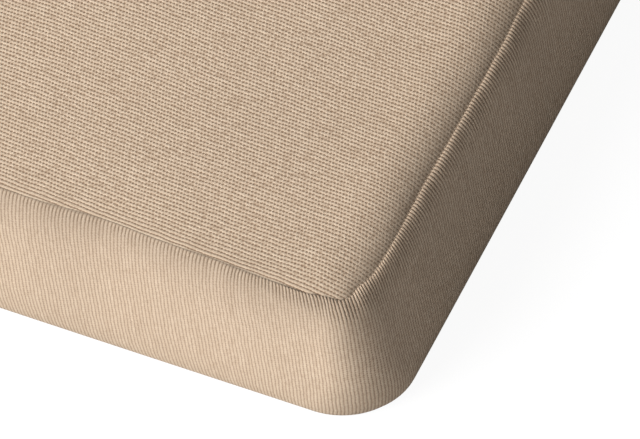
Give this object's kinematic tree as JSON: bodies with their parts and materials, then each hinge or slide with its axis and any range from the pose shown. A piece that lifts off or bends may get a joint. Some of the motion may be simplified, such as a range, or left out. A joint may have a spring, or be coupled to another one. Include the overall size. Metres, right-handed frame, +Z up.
{
  "type": "deckchair cushion",
  "caption": "Long boxed cushion for a deckchair: top and bottom panels and a boxing strip of beige woven cloth, sewn closed round a filling, with a soft crown and swollen sides.",
  "frame": {"origin": "centre of the cushion's footprint, on the surface that it lies on", "axes": "+Z up through the cushion's thickness, +Y along its length, +X across its width"},
  "size_m": [0.5006, 1.9006, 0.0649],
  "materials": {
    "cover_cloth": "beige plain-woven cloth, matte, thick rows over finer cross threads"
  },
  "bodies": {
    "root": {"cushion": "cover_cloth"}
  },
  "joints": []
}
